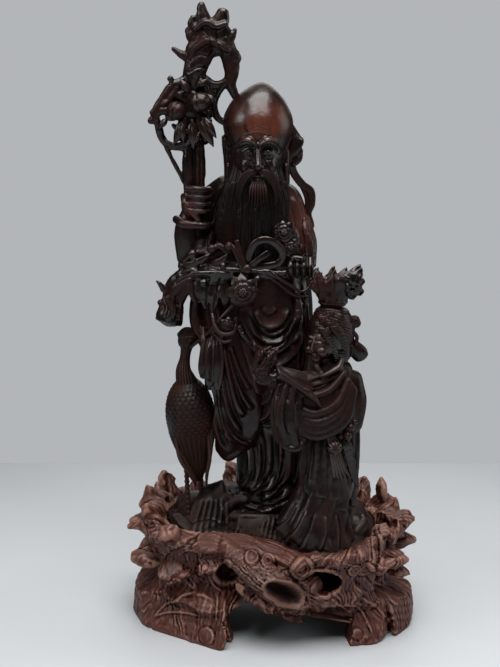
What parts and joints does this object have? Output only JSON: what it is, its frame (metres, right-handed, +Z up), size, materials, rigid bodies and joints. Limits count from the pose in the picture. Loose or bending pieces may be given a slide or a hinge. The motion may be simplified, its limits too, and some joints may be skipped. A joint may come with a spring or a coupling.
{
  "type": "immortal root carving",
  "caption": "Dark rosewood carving of an old immortal with peach staff, crane and boy attendant, resting in the recess of a carved root-wood stand.",
  "frame": {"origin": "on the ground under the middle of the whole object", "axes": "+Z up, -Y towards the viewer in front of the figures, +X to the viewer's right"},
  "size_m": [0.2136, 0.1734, 0.4504],
  "materials": {
    "dark_rosewood": "dark rosewood, almost black, polished and lacquered to a gloss, warmer brown on the bald head",
    "root_wood": "reddish-brown root wood, satin, with light worn ridges and dark hollows"
  },
  "bodies": {
    "root": {"figure_carving": "dark_rosewood", "root_stand": "root_wood"}
  },
  "joints": []
}
